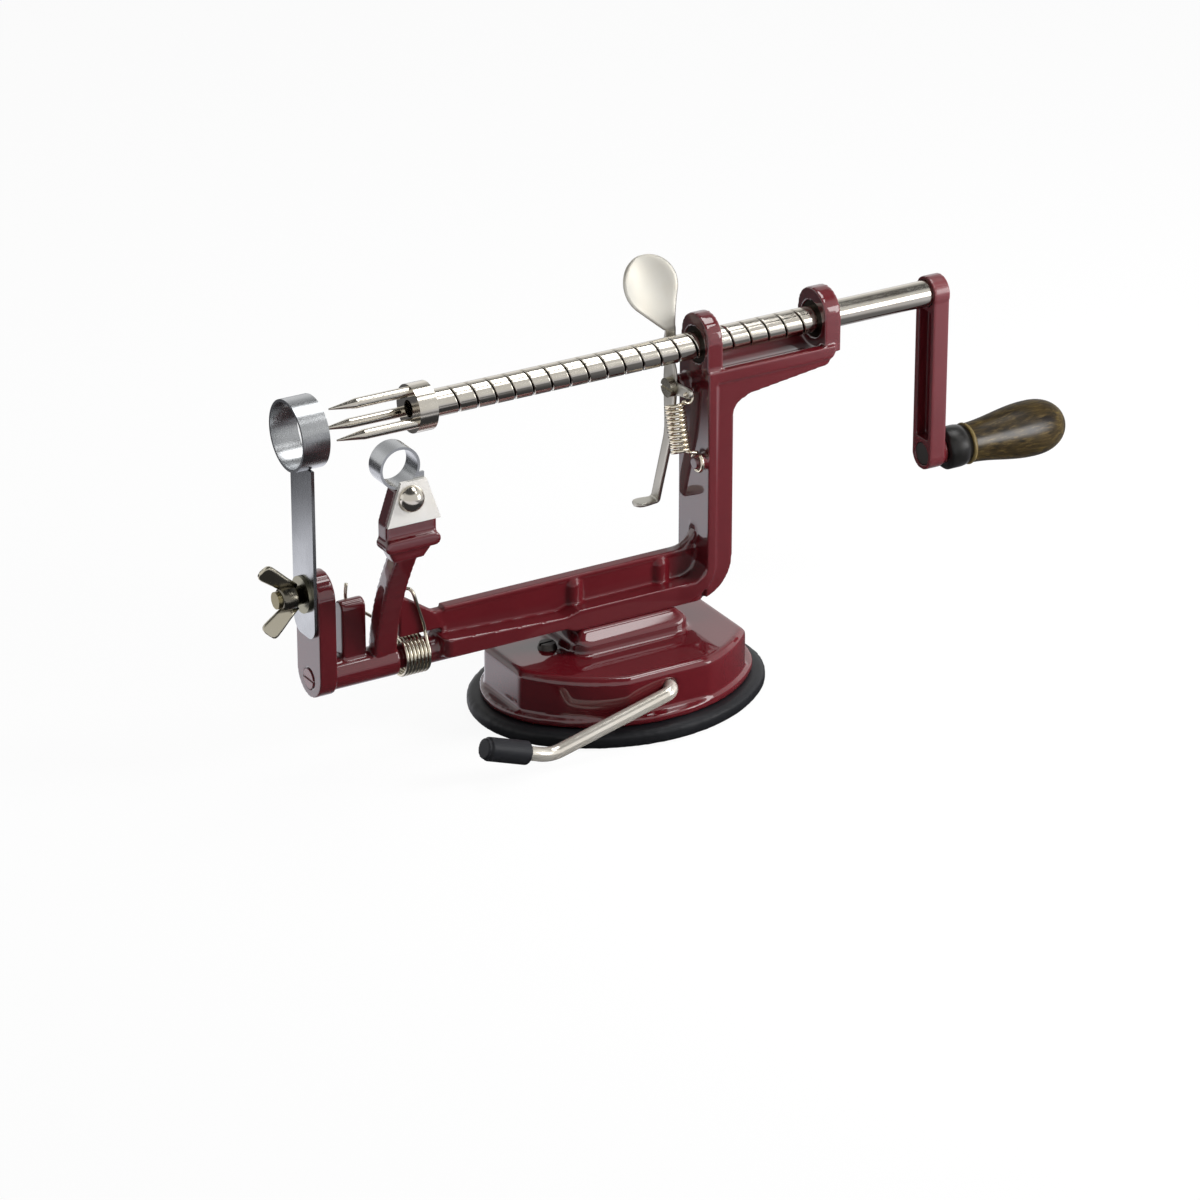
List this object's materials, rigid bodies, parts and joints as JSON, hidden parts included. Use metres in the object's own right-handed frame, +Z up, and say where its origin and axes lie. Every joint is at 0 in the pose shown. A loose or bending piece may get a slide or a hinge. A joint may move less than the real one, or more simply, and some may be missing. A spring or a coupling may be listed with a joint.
{
  "type": "fruit peeler",
  "caption": "Hand-cranked fruit peeler: a feed screw with a fork in a cast enamelled frame, a sprung peeling arm, a slicing and coring blade, and a suction foot with a locking lever.",
  "frame": {"origin": "centre of the suction foot's underside, on the table", "axes": "+X along the shaft towards the crank, +Z up from the table, -Y towards the side on which the peeling arm swings out"},
  "size_m": [0.3245, 0.0943, 0.1533],
  "materials": {
    "enamel": "deep burgundy enamel, glossy",
    "plated": "warm nickel plating, polished",
    "blade_steel": "bright ground steel",
    "spring_wire": "plated spring wire",
    "rubber": "satin black rubber",
    "vinyl": "satin black vinyl",
    "ferrule": "black lacquered ferrule",
    "wood": "dark walnut, clear lacquer",
    "bronze": "plain turned",
    "dark_steel": "blackened steel"
  },
  "bodies": {
    "frame": {"base_housing": "enamel", "suction_pad": "rubber", "housing_screw": "dark_steel", "frame_screws": "plated", "frame_casting": "enamel", "pivot_screw": "plated", "blade_bracket": "enamel", "bracket_screw": "dark_steel", "blade_bolt": "plated", "blade_washer": "plated", "lever_spring": "spring_wire", "arm_spring": "spring_wire"},
    "stud": {"pull_stud": "plated"},
    "locking_lever": {"suction_lever": "plated", "lever_cap": "vinyl"},
    "bushes": {"shaft_bushes": "bronze"},
    "shaft": {"feed_screw": "plated", "fruit_fork": "plated", "crank_arm": "enamel", "grip_spindle": "plated"},
    "grip": {"grip_ferrule": "ferrule", "wood_grip": "wood"},
    "release": {"release_lever": "plated"},
    "slicer": {"slicer_blade": "blade_steel"},
    "wing": {"wing_nut": "plated"},
    "arm": {"peeling_arm": "enamel", "blade_clamp": "plated", "peel_blade": "blade_steel", "clamp_screw": "plated"}
  },
  "joints": [
    {"name": "crank_spin", "type": "hinge", "parent": "frame", "child": "bushes", "pos_m": [0.031, 0, 0.125], "axis": [1, 0, 0], "range_deg": [-1440, 4230]},
    {"name": "shaft_feed", "type": "slide", "parent": "bushes", "child": "shaft", "axis": [1, 0, 0], "range_m": [-0.0289, 0.0847]},
    {"name": "grip_spin", "type": "hinge", "parent": "shaft", "child": "grip", "pos_m": [0.1346, 0, 0.0635], "axis": [1, 0, 0], "continuous": true},
    {"name": "release_turn", "type": "hinge", "parent": "frame", "child": "release", "pos_m": [0.02575, 0.005, 0.109], "axis": [1, 0, 0], "range_deg": [-8, 0], "stiffness_Nm_per_rad": 0.3, "springref_deg": 8.59, "deforming": ["lever_spring"]},
    {"name": "suction_turn", "type": "hinge", "parent": "frame", "child": "locking_lever", "pos_m": [0, 0, 0.0172], "axis": [0, 1, 0], "range_deg": [0, 120]},
    {"name": "stud_lift", "type": "slide", "parent": "frame", "child": "stud", "axis": [0, 0, 1], "range_m": [0, 0.0032]},
    {"name": "peel_swing", "type": "hinge", "parent": "frame", "child": "arm", "pos_m": [-0.1, 0, 0.0346], "axis": [1, 0, 0], "range_deg": [-12, 60], "stiffness_Nm_per_rad": 0.5, "springref_deg": -2.86, "deforming": ["arm_spring"]},
    {"name": "slicer_shift", "type": "slide", "parent": "frame", "child": "slicer", "axis": [0, 0, 1], "range_m": [-0.003, 0.003]},
    {"name": "wing_spin", "type": "hinge", "parent": "frame", "child": "wing", "pos_m": [-0.124, 0, 0.0663], "axis": [1, 0, 0], "continuous": true}
  ],
  "couplings": [
    {"joint": "shaft_feed", "follows": "crank_spin", "m_per_rad": 0.0011459},
    {"joint": "stud_lift", "follows": "suction_turn", "m_per_rad": 0.001489}
  ]
}
